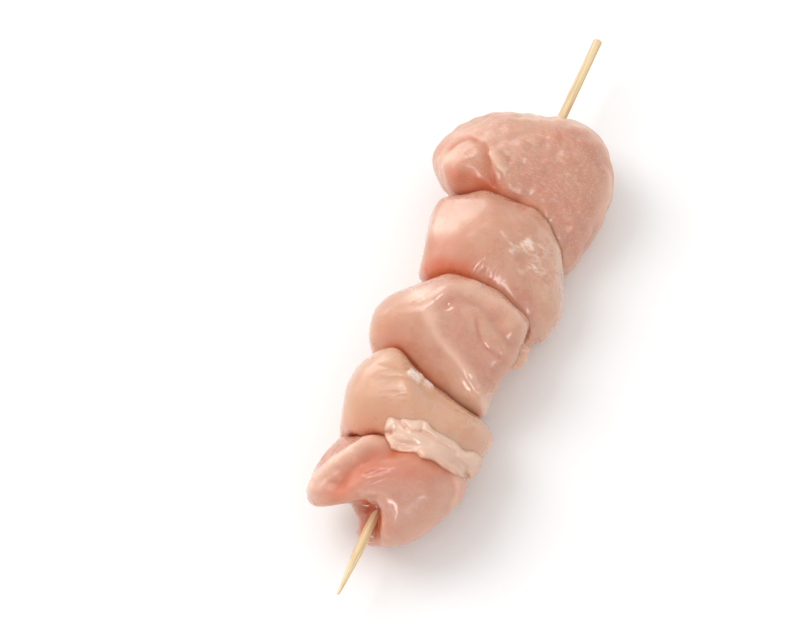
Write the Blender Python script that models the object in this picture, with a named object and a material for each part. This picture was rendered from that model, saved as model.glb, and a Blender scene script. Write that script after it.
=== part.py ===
# Raw turkey skewer: five chunks of turkey pushed close together on a pointed wooden stick.
#
# Metres, +Z up. The stick runs along X with its point at -X, and every chunk rests on the ground
# plane z = 0. The origin is under the middle of the whole skewer, on the ground.
#
# Each chunk is a round closed form seen from its own centre on the stick: a distance is worked
# out for every direction from that centre. The widest outline of a chunk lies in one leaning
# plane, whose axes are ACROSS, ALONG and OUT (out of the plane, up and towards the point).
# Where two chunks meet, both give way along one shared surface, like soft pieces pushed together.

import bmesh
import bpy
import numpy as np
from math import cos, pi, radians, sin

MM = 0.001

# ---- stick ----
STICK_LENGTH = 180 * MM
STICK_RADIUS = 1.25 * MM
STICK_HEIGHT = 16 * MM          # its axis above the ground
STICK_SIDE = -2.84 * MM         # its axis beside the middle of the skewer
POINT_LENGTH = 15 * MM          # the sharpened stretch
POINT_TIP_RADIUS = 0.25 * MM
BLUNT_EDGE = 0.3 * MM           # worn edge of the blunt end
STICK_SIDES = 16
BORE_CLEARANCE = 0.3 * MM       # between the stick and the chunks it goes through

# ---- chunks, all of them ----
PLANE_TURN = radians(-66.84)    # turn of the outline plane about +Z
PLANE_LEAN = radians(63)        # angle of its normal above the ground
SQUARENESS = 2.35               # 2 is an ellipsoid, more is fuller
CONTACT_GAP = 0.3 * MM          # each chunk stops this far before the shared surface
CONTACT_ROUND = 1.1 * MM        # rounding of the edge round a contact
GROUND_ROUND = 1.6 * MM         # rounding of the edge round a resting spot
AROUND = 38                     # mesh divisions about the stick
ENDWISE = 22                    # and from one end of a chunk to the other
FRONT_LEAD = 0.10               # how far a chunk spreads over the next one

# Outlines are corners (across, along) in millimetres about the chunk's centre, in order round it.
CHUNKS = (
    dict(
        name="turkey_piece_1",
        at=-58,
        rise=15.0, sink=18.0, sink_left=8.0, soften=2.2,
        outline=((-21.6, 0), (-20.8, -3.6), (-18.4, -5.2), (-14, -4.3), (-10, -3.2), (-8.6, -6),
                 (-7.6, -9), (-8.4, -12), (-5, -15), (0, -15.8), (5, -14.9), (10, -12.2),
                 (15, -7.4), (19.6, -3), (21.2, 1.5), (19, 6), (12, 11.5), (3, 13.6),
                 (-6, 13.8), (-12.4, 13.8), (-16.5, 9.5), (-19, 6)),
        ridges=(dict(path=((-19, 2), (-15, 7), (-8, 11), (0, 13)), height=1.0, width=2.2),
                dict(path=((-12, 2), (-8, 6), (0, 9)), height=-0.9, width=2.6)),
        notch=dict(across=-2.6, along=-3.2, out=2.4),
        colour=(0.80, 0.44, 0.36),
    ),
    dict(
        name="turkey_piece_2",
        at=-38.5,
        rise=15.5, sink=18.0, sink_left=17.0, soften=4,
        outline=((-20.2, 0), (-20.4, -4), (-17, -10), (-8, -13.5), (3, -13.8), (12, -13),
                 (16.6, -11), (18, -7.5), (20, -4), (18.4, 0.5), (12.5, 5), (5, 10.2),
                 (0, 14.8), (-4.8, 20.8), (-10, 19.5), (-15, 15.5), (-18.5, 10.2)),
        ridges=(dict(path=((-7.5, -1), (-2, -1.2), (5, -4), (12, -8.5)), height=2.4, width=3.0),),
        colour=(0.78, 0.50, 0.38),
    ),
    dict(
        name="turkey_piece_3",
        at=-12,
        rise=16.0, sink=18.0, sink_left=17.0, soften=4,
        outline=((-22.9, 2), (-22, -5), (-17, -10), (-9, -15), (0, -19), (8, -21), (10, -15),
                 (13.4, -9), (16.5, -6), (17.6, 0), (19.6, 5.4), (12.5, 13), (5, 17.3), (-2, 17.7),
                 (-10, 15.2), (-17, 12.7), (-21.4, 9)),
        ridges=(dict(path=((-8, 8), (-4, 0), (1, -5), (4.5, -10)), height=1.0, width=2.2),
                dict(path=((3, 12), (9, 8), (13, 2), (15, -2)), height=-0.8, width=1.8)),
        colour=(0.75, 0.42, 0.34),
    ),
    dict(
        name="turkey_piece_4",
        at=18,
        rise=16.0, sink=18.0, sink_left=17.0, soften=4,
        outline=((-20.5, 1), (-22.4, -7), (-18, -13), (-8, -19), (6.6, -26), (13, -23.6),
                 (17, -18), (17.2, -8), (16.4, 1), (13.5, 7), (9.6, 11.8), (3, 14.2), (-4, 16.7),
                 (-10, 15.2), (-15.5, 14.4), (-18.8, 9.5)),
        ridges=(),
        colour=(0.76, 0.44, 0.34),
    ),
    dict(
        name="turkey_piece_5",
        at=46,
        rise=16.5, sink=18.0, sink_left=14.0, soften=4.5,
        outline=((-30.6, 4.6), (-27.5, -6), (-18, -14), (-8, -22), (5, -31.5), (9.5, -27),
                 (15, -18.5), (19, -11), (20.6, -2), (18, 6.2), (12.7, 11.4), (5, 13.6), (-4, 14.2),
                 (-12, 15.4), (-22, 12)),
        ridges=(dict(path=((-15, 3), (-14, -2), (-10, -5)), height=-1.2, width=2.0),),
        colour=(0.72, 0.38, 0.30),
    ),
)

ACROSS = np.array((cos(PLANE_TURN), sin(PLANE_TURN), 0.0))
OUT = np.array((sin(PLANE_TURN) * cos(PLANE_LEAN), -cos(PLANE_TURN) * cos(PLANE_LEAN),
                sin(PLANE_LEAN)))
ALONG = np.cross(OUT, ACROSS)

TABLE_SIZE = 720                # steps of an outline's table of radii, all the way round


def smooth_lesser(a, b, width):
    """The lesser of two lengths, with the corner between them rounded over the width given."""
    lesser = np.minimum(a, b)
    return lesser - width * np.log1p(np.exp(-np.abs(a - b) / width))


def outline_radii(chunk):
    """Outline radius for every half degree: corners joined by straight lines, then softened."""
    corners = np.array(chunk["outline"], float) * MM
    share = np.linspace(0, 1, 24, endpoint=False)[:, None, None]
    line = (corners * (1 - share) + np.roll(corners, -1, axis=0) * share).reshape(-1, 2)
    angle = np.arctan2(line[:, 1], line[:, 0])
    order = np.argsort(angle)
    steps = np.arange(TABLE_SIZE) * 2 * pi / TABLE_SIZE - pi
    radii = np.interp(steps, angle[order], np.hypot(*line.T)[order], period=2 * pi)
    wave = np.fft.rfftfreq(TABLE_SIZE, d=1 / TABLE_SIZE)
    blur = np.exp(-0.5 * (wave * radians(chunk["soften"])) ** 2)
    return np.fft.irfft(np.fft.rfft(radii) * blur, TABLE_SIZE)


def lumps(chunk, directions):
    """Gentle unevenness: a few slow waves over the directions, as a share of the radius."""
    rng = np.random.default_rng(int(chunk["at"] * 2 + 400))
    waves = rng.normal(size=(6, 3)) * 2.3
    phases = rng.uniform(0, 2 * pi, 6)
    return 1 + 0.018 * np.sin(directions @ waves.T + phases).sum(axis=1) / np.sqrt(3)


def base_radius(chunk, directions):
    """Rounded form of the outline's radius in its plane and rise or sink out of the plane."""
    across, along, out = directions @ ACROSS, directions @ ALONG, directions @ OUT
    turn = (np.arctan2(along, across) + pi) * TABLE_SIZE / (2 * pi)
    ring = np.interp(turn, np.arange(TABLE_SIZE + 1), np.append(chunk["radii"], chunk["radii"][0]))
    left = np.clip(-across, 0, 1) ** 2
    sink = chunk["sink"] + (chunk["sink_left"] - chunk["sink"]) * left
    depth = np.where(out > 0, chunk["rise"], sink) * MM
    flat = (np.hypot(across, along) / ring) ** SQUARENESS + (np.abs(out) / depth) ** SQUARENESS
    return flat ** (-1 / SQUARENESS) * lumps(chunk, directions)


def ridge_height(chunk, directions, radius):
    """Ridges and creases of the upper side: a bell-shaped rise about each path."""
    place = np.stack((directions @ ACROSS, directions @ ALONG), axis=1) * radius[:, None]
    upper = np.clip(directions @ OUT / 0.35, 0, 1)
    height = np.zeros(len(directions))
    for ridge in chunk["ridges"]:
        path = np.array(ridge["path"], float) * MM
        nearest = np.full(len(directions), np.inf)
        for start, end in zip(path, path[1:]):
            run = end - start
            share = np.clip((place - start) @ run / (run @ run), 0, 1)
            nearest = np.minimum(nearest, np.hypot(*(place - start - share[:, None] * run).T))
        height += ridge["height"] * MM * np.exp(-(nearest / (ridge["width"] * MM)) ** 2)
    return height * upper


def notch_limit(chunk, directions):
    """Where a chunk has a notch: the open corner below and beside its raised tongue."""
    notch = chunk.get("notch")
    if not notch:
        return np.full(len(directions), np.inf)
    limits = []
    for name, axis, side in (("across", ACROSS, -1), ("along", ALONG, -1), ("out", OUT, 1)):
        reach = directions @ axis * side
        limits.append(abs(notch[name]) * MM / np.maximum(reach, 1e-3))
    return np.max(limits, axis=0)


def centre(chunk):
    return np.array((chunk["at"] * MM, STICK_SIDE, STICK_HEIGHT))


def fullness(chunk, points):
    """0 at the chunk's centre and 1 on its free surface."""
    offset = points - centre(chunk)
    reach = np.linalg.norm(offset, axis=1)
    return reach / base_radius(chunk, offset / np.maximum(reach, 1e-9)[:, None])


def contact_limit(chunk, other, directions, radius):
    """How far each direction may run before it meets the surface shared with a neighbour."""
    lead = FRONT_LEAD if other["at"] > chunk["at"] else -FRONT_LEAD
    near, far = np.zeros(len(directions)), radius * 1.4
    for _ in range(18):
        reach = (near + far) / 2
        points = centre(chunk) + directions * reach[:, None]
        inside = reach / radius < fullness(other, points) + lead
        near, far = np.where(inside, reach, near), np.where(inside, far, reach)
    return np.where(near > radius * 1.39, np.inf, near - CONTACT_GAP)


def rest_on_ground(points):
    """Flattens what would go below the ground, with a rounded edge."""
    depth = points[:, 2] / GROUND_ROUND
    eased = np.where(depth < -1, 0, np.where(depth > 1, depth, (depth + 1) ** 2 / 4))
    points[:, 2] = eased * GROUND_ROUND
    return points


def chunk_points(index, directions):
    """Surface points of one chunk, for unit directions from its centre."""
    chunk = CHUNKS[index]
    radius = base_radius(chunk, directions)
    surface = radius + ridge_height(chunk, directions, radius)
    surface = smooth_lesser(surface, notch_limit(chunk, directions), 0.5 * MM)
    for neighbour in (index - 1, index + 1):
        if 0 <= neighbour < len(CHUNKS):
            limit = contact_limit(chunk, CHUNKS[neighbour], directions, radius)
            surface = smooth_lesser(surface, limit, CONTACT_ROUND)
    return rest_on_ground(centre(chunk) + directions * surface[:, None])


def material(name, colour, roughness):
    made = bpy.data.materials.new(name)
    made.use_nodes = True
    shader = made.node_tree.nodes["Principled BSDF"]
    shader.inputs["Base Color"].default_value = (*colour, 1)
    shader.inputs["Roughness"].default_value = roughness
    shader.inputs["Metallic"].default_value = 0
    made.diffuse_color = (*colour, 1)
    return made


def add_object(name, mesh, finish=None):
    made = bpy.data.objects.new(name, mesh)
    bpy.context.scene.collection.objects.link(made)
    if finish:
        mesh.materials.append(finish)
    return made


def turned_mesh(name, profile, sides):
    """Closed solid turned about X: profile is a list of (x, radius), point first."""
    shape = bmesh.new()
    rings = []
    for x, radius in profile:
        turns = [2 * pi * side / sides for side in range(sides)]
        rings.append([shape.verts.new((x, radius * cos(t), radius * sin(t))) for t in turns])
    for ring, after in zip(rings, rings[1:]):
        for side in range(sides):
            follow = (side + 1) % sides
            shape.faces.new((ring[side], ring[follow], after[follow], after[side]))
    shape.faces.new(rings[0][::-1])
    shape.faces.new(rings[-1])
    bmesh.ops.recalc_face_normals(shape, faces=shape.faces)
    mesh = bpy.data.meshes.new(name)
    shape.to_mesh(mesh)
    shape.free()
    mesh.shade_smooth()
    mesh.set_sharp_from_angle(angle=radians(40))
    return mesh


def build_stick():
    half = STICK_LENGTH / 2
    profile = []
    for step in range(7):                               # the point swells slightly, then runs in
        share = step / 6
        swell = share ** 0.85
        profile.append((-half + share * POINT_LENGTH,
                        POINT_TIP_RADIUS + (STICK_RADIUS - POINT_TIP_RADIUS) * swell))
    profile.append((half - BLUNT_EDGE, STICK_RADIUS))
    profile.append((half, STICK_RADIUS - BLUNT_EDGE))
    finish = material("pale_wood", (0.80, 0.60, 0.36), 0.6)
    stick = add_object("stick", turned_mesh("stick", profile, STICK_SIDES), finish)
    stick.location = (0, STICK_SIDE, STICK_HEIGHT)
    return stick


def build_bore():
    """Guide for the hole that the stick makes through every chunk."""
    half = STICK_LENGTH / 2
    radius = STICK_RADIUS + BORE_CLEARANCE
    bore = add_object("bore_guide", turned_mesh("bore_guide", [(-half, radius), (half, radius)],
                                                STICK_SIDES))
    bore.location = (0, STICK_SIDE, STICK_HEIGHT)
    bore.display_type = "WIRE"
    bore.hide_render = True
    return bore


def build_chunk(index, bore):
    chunk = CHUNKS[index]
    shape = bmesh.new()
    bmesh.ops.create_uvsphere(shape, u_segments=AROUND, v_segments=ENDWISE, radius=1)
    directions = np.array([(vert.co.z, vert.co.x, vert.co.y) for vert in shape.verts])
    for vert, place in zip(shape.verts, chunk_points(index, directions)):
        vert.co = place
    bmesh.ops.triangulate(shape, faces=shape.faces)
    mesh = bpy.data.meshes.new(chunk["name"])
    shape.to_mesh(mesh)
    shape.free()
    mesh.shade_smooth()
    made = add_object(chunk["name"], mesh, material(chunk["name"] + "_meat", chunk["colour"], 0.3))
    cut = made.modifiers.new("bore", "BOOLEAN")
    cut.operation = "DIFFERENCE"
    cut.solver = "EXACT"
    cut.object = bore
    return made


def main():
    for old in list(bpy.data.objects):
        bpy.data.objects.remove(old, do_unlink=True)
    for chunk in CHUNKS:
        chunk["radii"] = outline_radii(chunk)
    build_stick()
    bore = build_bore()
    for index in range(len(CHUNKS)):
        build_chunk(index, bore)


main()
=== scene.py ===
# Raw turkey skewer: the looks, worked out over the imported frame.
import math
import bpy
import numpy as np
from mathutils import Matrix, Vector


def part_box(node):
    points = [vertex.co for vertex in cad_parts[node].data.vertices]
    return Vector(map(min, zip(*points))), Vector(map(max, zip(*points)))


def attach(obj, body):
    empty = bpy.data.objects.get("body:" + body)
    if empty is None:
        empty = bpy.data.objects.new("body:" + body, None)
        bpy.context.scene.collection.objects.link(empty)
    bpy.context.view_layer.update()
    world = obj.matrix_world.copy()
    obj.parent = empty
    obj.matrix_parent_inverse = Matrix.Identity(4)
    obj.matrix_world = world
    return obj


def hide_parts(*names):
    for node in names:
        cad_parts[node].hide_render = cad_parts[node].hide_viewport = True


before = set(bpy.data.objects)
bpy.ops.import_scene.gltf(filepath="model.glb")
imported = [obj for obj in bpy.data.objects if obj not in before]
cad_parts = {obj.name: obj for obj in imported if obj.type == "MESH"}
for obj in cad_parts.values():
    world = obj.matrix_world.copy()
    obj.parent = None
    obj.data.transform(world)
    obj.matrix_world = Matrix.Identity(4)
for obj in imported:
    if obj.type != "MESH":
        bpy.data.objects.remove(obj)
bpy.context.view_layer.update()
print("frame loaded:", sorted(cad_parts))

mm = 0.001
stickLow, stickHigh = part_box("stick")
stickSide = (stickLow.y + stickHigh.y) / 2  # the stick's axis runs along X at this Y and Z
stickHeight = (stickLow.z + stickHigh.z) / 2
stickRadius = (stickHigh.z - stickLow.z) / 2

# Every chunk's widest outline lies in one leaning plane: across and along are its axes, out its normal.
plane = {"turn": -66.8403, "lean": 63.0}
turn, lean = math.radians(plane["turn"]), math.radians(plane["lean"])
across = np.array((math.cos(turn), math.sin(turn), 0.0))
out = np.array((math.sin(turn) * math.cos(lean), -math.cos(turn) * math.cos(lean), math.sin(lean)))
along = np.cross(out, across)


farAway = 99.0  # mm, stands for a surface that is never met
halfDegrees = 720  # in a full turn
cellStir = (374761393, 668265263, 1274126177)  # large odd numbers that scatter the corners' values
seedStir, valueStir = 97531, 1103515245
octaveShift = 7.3  # keeps the corners of a noise's octaves apart


def cellNoise(points, seed):
    # random values at the whole-number corners of space, eased between them: smooth, from -1 to 1
    base = np.floor(points).astype(np.int64)
    part = points - base
    ease = part * part * part * (part * (part * 6 - 15) + 10)
    total = np.zeros(len(points))
    for corner in np.ndindex(2, 2, 2):
        mixed = ((base + corner) @ np.array(cellStir) + seed * seedStir) & 0xffffffff
        mixed = (mixed ^ (mixed >> 13)) * valueStir
        value = ((mixed ^ (mixed >> 16)) & 0xffff) / 32767.5 - 1
        total += value * np.prod(np.where(corner, ease, 1 - ease), axis=1)
    return total


def roughNoise(points, size, seed, octaves=3, fade=0.5):
    # cell noise added up at sizes that halve each time, each one shifted, and weaker by fade
    total, strength = 0, 1.0
    for octave in range(octaves):
        places = points / size * 2 ** octave + octaveShift * octave
        total = total + strength * cellNoise(places, seed + octave)
        strength *= fade
    return total


def grainNoise(points, grain, length, width, seed, octaves=2):
    # noise drawn out along the grain direction: long that way and narrow across it
    grain = np.array(grain, float) / np.linalg.norm(grain)
    side = np.cross(grain, (0.31, 0.17, 0.93))  # any direction off the grain will do
    side /= np.linalg.norm(side)
    other = np.cross(grain, side)
    stretched = np.stack((points @ grain / length, points @ side / width, points @ other / width), axis=1)
    return roughNoise(stretched, 1.0, seed, octaves)


def easedLesser(a, b, width):
    # the lesser of two lengths, with the corner between them rounded by the width
    return np.minimum(a, b) - width * np.log1p(np.exp(-np.abs(a - b) / width))


def smoothPath(path, count=28):
    # a curve through the points given (Catmull-Rom), read at evenly spaced steps
    path = np.array(path, float)
    padded = np.vstack((2 * path[0] - path[1], path, 2 * path[-1] - path[-2]))
    steps = np.linspace(0, len(path) - 1 - 1e-9, count)
    k = steps.astype(int)
    t = (steps - k)[:, None]
    a, b, c, d = padded[k], padded[k + 1], padded[k + 2], padded[k + 3]
    square, cube = 2 * a - 5 * b + 4 * c - d, 3 * b - a - 3 * c + d
    return 0.5 * (2 * b + (c - a) * t + square * t ** 2 + cube * t ** 3)


def pathDistance(places, path):
    # for each place: how far the path is, on which side of it the place lies (+ is left), and how far
    # along the path its nearest point is, from 0 to 1
    curve = smoothPath(path)
    best = np.full(len(places), np.inf)
    side, share = np.zeros(len(places)), np.zeros(len(places))
    for number, (start, end) in enumerate(zip(curve, curve[1:])):
        run = end - start
        away = places - start
        t = np.clip(away @ run / (run @ run), 0, 1)
        gap = np.hypot(*(away - t[:, None] * run).T)
        closer = gap < best
        best = np.where(closer, gap, best)
        side = np.where(closer, np.sign(run[0] * away[:, 1] - run[1] * away[:, 0]), side)
        share = np.where(closer, (number + t) / (len(curve) - 1), share)
    return best, side, share


chunkForm = {
    "around": 420, "endwise": 208,  # divisions about the stick, and from end to end
    "squareness": 2.35,  # 2 is an ellipsoid, more is fuller
    "sink": 18.0,  # mm, how far a chunk reaches behind its outline's plane
    "pressed": 0.25,  # mm, how far neighbours press into each other
    "contactRound": 0.25,  # mm, rounding of the edge round a contact
    "valley": 0.6, "valleyReach": 1.3,  # mm, how a chunk curves in beside the one in front of it
    "valleyShare": 0.3, "valleyRun": 12.0, "valleyLeast": 0.15,  # more to the left, less to the right
    "groundRound": 1.5,  # mm, rounding of the edge round a resting spot
    "frontLead": 0.14,  # how far a chunk spreads over the next one
    "waves": 6, "waveRate": 2.3, "waveHeight": 0.018,  # slow unevenness of the whole chunk
    "upperFade": 0.35,  # marks set in over this sine above the outline's plane,
    "foldsFrom": 0.3, "foldsOver": 0.3,  # and folds from this sine below it
}


def line(width, *path, **values):
    # one mark: its width, the points of its path, and its lift and tints
    return {"width": width, "path": path, **values}


def comb(reach, at, turn, lift, width=0.75):
    # one patch of fine ridges
    return {"reach": reach, "at": at, "turn": turn, "lift": lift, "width": width}


# Sizes in mm. A chunk's centre is on the stick, at that X. Its outline is corners (across, along) about
# the centre, softened by that many degrees; rise is how far it reaches out of the outline's plane, and
# sinkLeft how far behind it at its left end. Gape widens the valley in front of it, and rugged is the
# height of its smaller rises. A facet is a flat cut through the point (across, along, out) with the slope
# given away from out, and round is the rounding of its edge. A mark follows a path over the upper side: it
# lifts or sinks a line of the given width, a step raises its left side and fades over its reach, and pale,
# fleck (broken white), deep and pink tint it, while matte dries it. Pale is membrane and in some marks
# painted highlight and sheen; deep is painted shade in creases, under folds and at contacts, and in some
# marks redder flesh. A comb's ridges run at the turn in degrees, as far apart as its width, and fade over
# its reach. In a look, peach shares out the two flesh tones, speckle is the strength of the fine pale
# flecks, grain their thickness for their length, fine their number, and wet the strength of the clear wet
# layer.
chunks = [{
    "node": "turkey_piece_1", "at": -58, "rise": 15.0, "sinkLeft": 8.0, "soften": 2.0,
    "outline": ((-21.6, 0), (-20.8, -3.6), (-18.4, -5.2), (-14, -4.3), (-10, -3.2), (-8.6, -6), (-7.6, -9),
                (-8.4, -12), (-5, -15), (0, -15.8), (5, -14.9), (10, -12.2), (15, -7.4), (19.6, -3),
                (21.2, 1.5), (19, 6), (12, 11.5), (3, 13.6), (-6, 13.8), (-12.4, 13.8), (-16.5, 9.5),
                (-19, 6)),
    "notch": True,
    "marks": [
        # pale crest rim, partly painted highlight along the crest
        line(1.6, (-20.6, -2), (-19.3, 1.6), (-17.2, 4.8), (-13.6, 7.8), (-9.5, 10.2), (-5, 12.0),
             (0, 13), lift=1.35, pale=0.9, fleck=0.16),
        line(2.6, (-20, 5), (-16.5, 9.8), (-12, 13.4), (-6, 14.8), lift=-1.5, deep=0.16),
        # painted shade: deep darkens the groove under the crest
        line(2.2, (-13.6, -0.8), (-11.4, 2.8), (-8.4, 6.2), (-4.5, 8.6), (0, 10.2), (6, 10.6), lift=-1.3,
             deep=0.42),
        line(3.4, (-2, 6.8), (4, 6.4), (10, 5.4), deep=0.32, matte=0.6),
        # painted shade at the bottom of the crease under the crest
        line(3.0, (-12.4, -0.6), (-9.8, 2.2), (-7.4, 4.2), deep=0.5, matte=0.4),
        # painted shade where the loose flap's lower edge lies over this chunk
        line(1.5, (0, 11), (7, 9.9), (13, 6.6), (19, 2.9), lift=-0.4, deep=0.55),
        line(0.8, (-17.6, -1), (-15.4, 2.6), (-11.5, 5.6), lift=0.3, pale=0.15),
        line(3.5, (-9, 4), (-3, 5), (3, 5), (8, 4), deep=0.18),
        line(2.6, (-14, -2.6), (-9, -1.4), (-4, -0.6), matte=0.9),
        line(4.0, (5, -12), (10, -8), (14, -3), matte=0.8),
        line(5, (2, 5), (6, 2), (8, -3), pink=0.6),
        line(4.5, (3, -12), (9, -9), (15, -3), (17, 2), pale=0.24),
        line(0.6, (15.2, 7), (17.4, 3.8), (18.0, 0), (17.4, -3.5), (15.6, -6.6), step=0.7, reach=4.0,
             pale=0.4),
    ],
    "combs": [comb(3.4, (-3.6, 4.6), 20, 0.20, 0.7), comb(2.6, (-14.5, 1.6), 60, 0.10),
              comb(4.0, (0.8, -6.5), 95, 0.05)],
    "look": {"peach": 0.34, "speckle": 0.12, "wet": 0.85},
}, {
    "node": "turkey_piece_2", "at": -38.5, "rise": 15.5, "sinkLeft": 17.0, "soften": 3.0,
    "gape": 3.0,
    "outline": ((-20.2, 0), (-20.4, -4), (-17, -10), (-8, -13.5), (3, -13.8), (12, -13), (16.6, -11),
                (18, -7.5), (20, -4), (18.4, 0.5), (12.5, 5), (5, 10.2), (0, 14.8), (-4.8, 20.8),
                (-10, 19.5), (-15, 15.5), (-18.5, 10.2)),
    "marks": [
        # painted shade in a fine crease near the top
        line(0.55, (-11, 16.6), (-6, 16.2), (-2, 15.2), (0.5, 13.8), lift=-0.25, deep=0.08),
        # painted shade: the left side darkened, most towards the contact with the first chunk
        line(4.6, (-22, 0), (-14, 1), (-8, 2), (-3, 3), deep=0.17),
        line(5.0, (-21, 8), (-13, 9), deep=0.07, matte=0.35),
        line(3.0, (-15, 11), (-10, 13), matte=0.5),
        line(0.6, (-9, 14.0), (-4.5, 13.4), (-1.5, 12.2), lift=-0.18),
        line(1.1, (-1.2, 14.2), (0.6, 12.9), lift=0.9, pale=0.7, fleck=0.8),
        line(0.8, (2.4, 11.5), (3.8, 10.3), lift=0.6, pale=0.6, fleck=0.6),
    ],
    "combs": [comb(4.0, (-6.5, 10.6), 12, 0.11), comb(2.6, (-4.5, 7.6), 14, 0.08)],
    "look": {"peach": 0.85, "speckle": 0.0, "wet": 0.8},
}, {
    "node": "turkey_piece_3", "at": -12, "rise": 16.0, "sinkLeft": 17.0, "soften": 3.0,
    "outline": ((-22.9, 2), (-22, -5), (-17, -10), (-9, -15), (0, -19), (8, -21), (10, -15), (13.4, -9),
                (16.5, -6), (17.6, 0), (19.6, 5.4), (12.5, 13), (5, 17.3), (-2, 17.7), (-10, 15.2),
                (-17, 12.7), (-21.4, 9)),
    "facets": [{"at": (-2.4, -1.2, 15.7), "slope": (-0.36, -0.26), "round": 1.6},
               {"at": (0.5, 0, 15.1), "slope": (0.16, 0.02), "round": 1.1}],
    "marks": [
        line(2.0, (-6, 12.2), (-2, 14.0), (3, 14.6), (8, 12.8), (13.5, 9), (17.5, 5.5), lift=0.6,
             pale=0.36),
        line(1.5, (-5.5, 9.5), (-2, 11.4), (3, 11.6), (7.4, 9.3), (11.5, 5), (14, 0.5), (15.2, -2.5),
             lift=-0.8, pink=0.5, deep=0.10),
        line(0.8, (5.5, 7.5), (6.5, 3.5), (8, 0), (10.5, -2.5), (13, -4.5), lift=-0.3, pink=0.8, deep=0.18),
        line(6.0, (-1, 9), (0.6, 4), (2.5, 0), (5.5, -4), pink=0.55),
        line(1.8, (-7.6, 8.5), (-6, 4.5), (-4.2, 0.5), (-0.5, -4.2), (2.8, -8), (4.6, -10.5), lift=0.35,
             pale=0.5),
        # painted shade along the crease with the second chunk
        line(3.8, (-22, 0), (-17, 1.5), (-12, -0.5), (-8, -4.5), (-5.5, -8), deep=0.18),
        # painted shade on the left side
        line(3.0, (-21, 4), (-17, 6.5), (-15.5, 10), deep=0.08, matte=0.8),
        # painted highlight: the sheen at the top of the ridge
        line(2.0, (-11, 13), (-8.6, 11), (-7.4, 8.4), pale=0.55),
        line(1.6, (-2, -1.5), (0.4, -5), (2.0, -7.2), matte=0.85),
        line(3.2, (0.6, -12.2), (4.6, -14.2), (8, -17), pale=0.66),
    ],
    "combs": [comb(2.4, (-17.5, 7.5), 40, 0.05), comb(4.6, (6, -11.5), 118, 0.20, 1.1),
              comb(3.4, (-10, 11), 62, 0.07, 0.9), comb(6.0, (4, 1), -58, 0.022)],
    "look": {"peach": 0.52, "speckle": 0.10, "wet": 0.85},
}, {
    "node": "turkey_piece_4", "at": 18, "rise": 16.0, "sinkLeft": 17.0, "soften": 3.0,
    "outline": ((-20.5, 1), (-22.4, -7), (-18, -13), (-8, -19), (6.6, -26), (13, -23.6), (17, -18),
                (17.2, -8), (16.4, 1), (13.5, 7), (9.6, 11.8), (3, 14.2), (-4, 16.7), (-10, 15.2),
                (-15.5, 14.4), (-18.8, 9.5)),
    "facets": [{"at": (4, 0, 15.3), "slope": (0.26, 0.02), "round": 1.2},
               {"at": (-12, 9, 9.2), "slope": (-0.78, 0.86), "round": 0.8}],
    "marks": [
        line(1.0, (0.5, 8.5), (3, 4.5), (4.4, 0), (4.4, -5), (6.5, -10), (8, -15), (9, -20), step=-0.25,
             reach=4),
        line(0.9, (2.2, -0.2), (3.8, 0.5), (5.4, 0.8), (7.0, 2.2), (8.2, 3.4), pale=0.4, fleck=0.14),
        line(0.9, (6.4, 2.0), (8.2, 1.8), (9.6, 0.4), pale=0.4, fleck=0.12),
        line(2.2, (3, 0), (7, 1.2), (11, 0), fleck=0.20),
        # painted sheen on the upper left shoulder
        line(3.6, (-17.5, 7), (-13, 8.6), (-8, 10.6), pale=0.2),
        line(4.5, (9, 6), (11, 0), (12, -8), (12, -16), fleck=0.19),
        line(0.5, (0, 6), (1.8, 3.4), (3.4, 1.6), fleck=0.3),
        line(1.8, (3, -4), (6, -5.4), (9, -4.4), (12, -7), fleck=0.26),
        line(1.6, (11, 9), (14.4, 2.4), (14.6, -6), (14, -14), pale=0.25),
        # painted shade along the contact with the third chunk and over the lower left side
        line(3.4, (-21.5, -6.5), (-17, -5.6), (-12, -4.8), (-7, -5), deep=0.44),
        line(4.5, (-20.5, 0), (-17, 1.0), (-10, -1), (-4, -1), deep=0.16),
        # painted sheen along the lower edge of the sheen
        line(1.5, (-19, 5.6), (-15, 6), (-11.5, 6.6), pale=0.3),
        line(3.3, (-9.6, 7.2), (-5.5, 7.6), (-1, 9.4), matte=0.95, deep=0.06),
        # painted shade on the lower left side
        line(2.8, (-20, 0.6), (-14, 2.2), (-11, 3.4), matte=0.75, deep=0.15),
        line(2.6, (-22, -3), (-16, -3.2), deep=0.26),
        line(2.2, (3, -11), (6.4, -14), (8.4, -18), pink=0.7, deep=0.08),
        line(2.6, (12, 8), (15, 2), (15.5, -6), pale=0.2),
    ],
    "combs": [comb(4.8, (-3.8, -6.0), 62, 0.17, 1.05), comb(6.5, (10, -10), 105, 0.035),
              comb(4.5, (8, 2), 30, 0.02)],
    "look": {"peach": 0.50, "speckle": 0.12, "wet": 1.0},
}, {
    "node": "turkey_piece_5", "at": 46, "rise": 16.5, "sinkLeft": 14.0, "soften": 4.8,
    "outline": ((-30.6, 4.6), (-27.5, -6), (-18, -14), (-8, -22), (5, -31.5), (9.5, -27), (15, -18.5),
                (19, -11), (20.6, -2), (18, 6.2), (12.7, 11.4), (5, 13.6), (-4, 14.2), (-12, 15.4),
                (-22, 12)),
    "facets": [{"at": (4, 0, 15.9), "slope": (0.06, -0.03), "round": 1.0}],
    "marks": [
        line(2.4, (2, 9.0), (8, 8.8), (13.5, 6.2), (16.4, 2), pink=0.8, deep=0.06),
        line(1.6, (-9, 14.2), (0, 13.2), (7, 12.4), (12, 10.2), (16.4, 6.2), (18.9, 1.5), (19.3, -4),
             (18, -10), (15, -17), lift=0.35, pale=0.6),
        line(0.6, (6.5, -14.8), (10, -14.4), (14.5, -14.8), lift=-0.25, pale=0.2),
        line(3.0, (-26, 8), (-18, 7.4), (-10, 5), (-5, 3.6), pale=0.28),
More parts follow.
